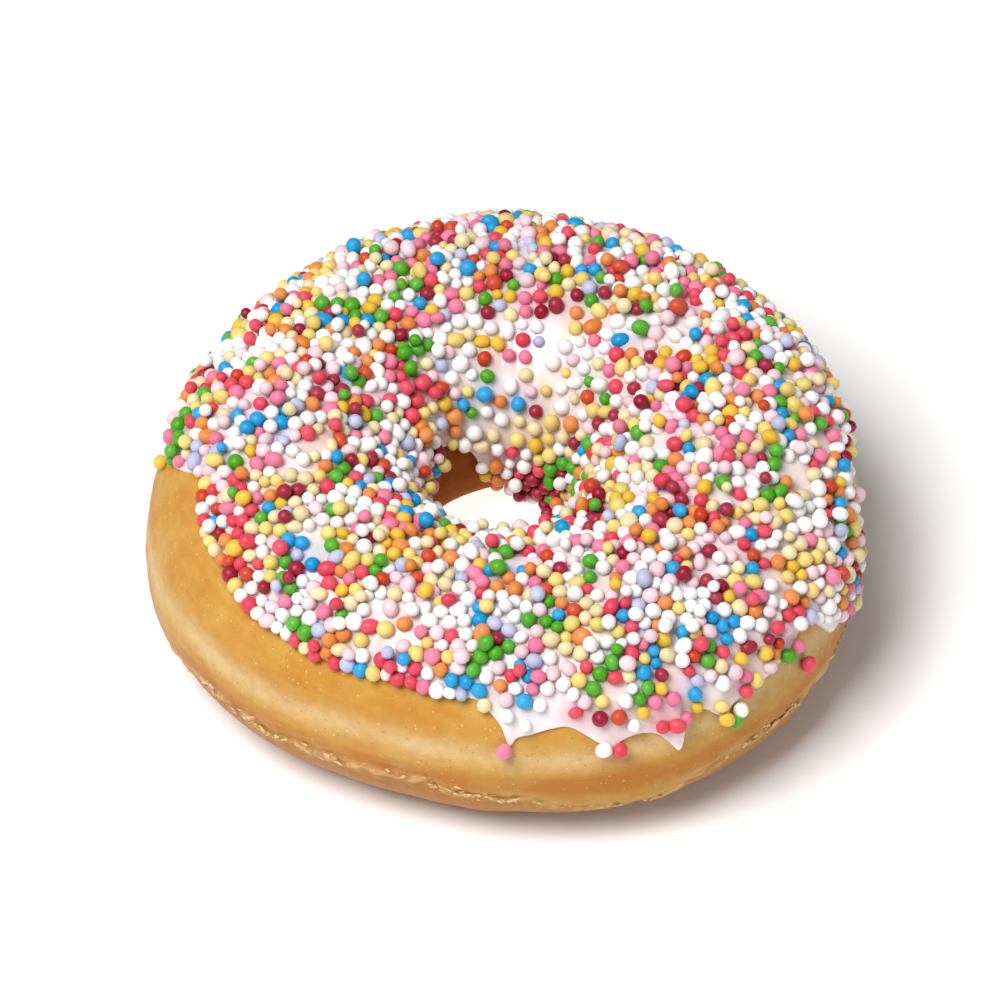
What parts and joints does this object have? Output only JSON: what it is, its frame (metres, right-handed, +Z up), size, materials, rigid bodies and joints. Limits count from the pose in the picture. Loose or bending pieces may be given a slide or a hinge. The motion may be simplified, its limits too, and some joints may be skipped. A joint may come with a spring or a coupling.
{
  "type": "sprinkle frosted doughnut",
  "caption": "Ring doughnut of fried dough with a thin coat of white icing over its top and into its hole, ending in short runs at one side. Rests flat.",
  "frame": {"origin": "middle of the doughnut's footprint, at the height of the flat underside", "axes": "+Z up through the hole; +X to the right and +Y away from a viewer who faces the icing's runs"},
  "size_m": [0.0852, 0.0862, 0.032],
  "materials": {
    "dough": "satin",
    "icing": "gloss",
    "sprinkle_white": "satin",
    "sprinkle_cream": "satin",
    "sprinkle_yellow": "satin",
    "sprinkle_orange": "satin",
    "sprinkle_red": "satin",
    "sprinkle_coral": "satin",
    "sprinkle_crimson": "satin",
    "sprinkle_pink": "satin",
    "sprinkle_pale_pink": "satin",
    "sprinkle_green": "satin",
    "sprinkle_blue": "satin",
    "sprinkle_lavender": "satin"
  },
  "bodies": {
    "root": {"dough_ring": "dough", "icing": "icing"}
  },
  "joints": []
}
